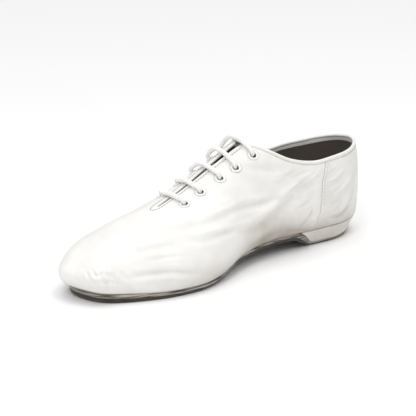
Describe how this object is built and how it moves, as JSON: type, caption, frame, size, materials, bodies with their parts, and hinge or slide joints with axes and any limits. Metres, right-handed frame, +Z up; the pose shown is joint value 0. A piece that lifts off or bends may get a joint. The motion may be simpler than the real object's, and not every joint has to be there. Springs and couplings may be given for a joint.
{
  "type": "jazz shoe",
  "caption": "Low-heeled soft leather lace-up dance shoe with a slit instep, ring eyelets, straight lace bars, rolled collar piping and a thin two-layer sole.",
  "frame": {"origin": "on the floor, under the middle of the heel, on the line the foot's last is drawn about", "axes": "+X from the heel to the toe, +Y to the outer side of the foot (this is a left shoe), +Z up"},
  "size_m": [0.283, 0.0954, 0.0977],
  "materials": {
    "white_leather": "soft white leather, satin, creased by wear",
    "piping_leather": "white leather rolled round a cord, satin",
    "insole_leather": "pale unfinished leather, matt",
    "heel_leather": "white leather cover, satin",
    "midsole_leather": "light grey sole leather, matt cut edge",
    "sole_suede": "dark taupe suede, matt, worn at the ball",
    "eyelet_paint": "white enamelled ring eyelets",
    "lace_cotton": "white round braided lace"
  },
  "bodies": {
    "root": {"upper": "white_leather", "collar_piping": "piping_leather", "insole": "insole_leather", "heel": "heel_leather", "midsole": "midsole_leather", "outsole": "sole_suede", "eyelet_outer_1": "eyelet_paint", "eyelet_outer_2": "eyelet_paint", "eyelet_outer_3": "eyelet_paint", "eyelet_outer_4": "eyelet_paint", "eyelet_outer_5": "eyelet_paint", "eyelet_inner_1": "eyelet_paint", "eyelet_inner_2": "eyelet_paint", "eyelet_inner_3": "eyelet_paint", "eyelet_inner_4": "eyelet_paint", "eyelet_inner_5": "eyelet_paint", "lace_bar_1": "lace_cotton", "lace_bar_2": "lace_cotton", "lace_bar_3": "lace_cotton", "lace_bar_4": "lace_cotton", "lace_bar_5": "lace_cotton"}
  },
  "joints": []
}
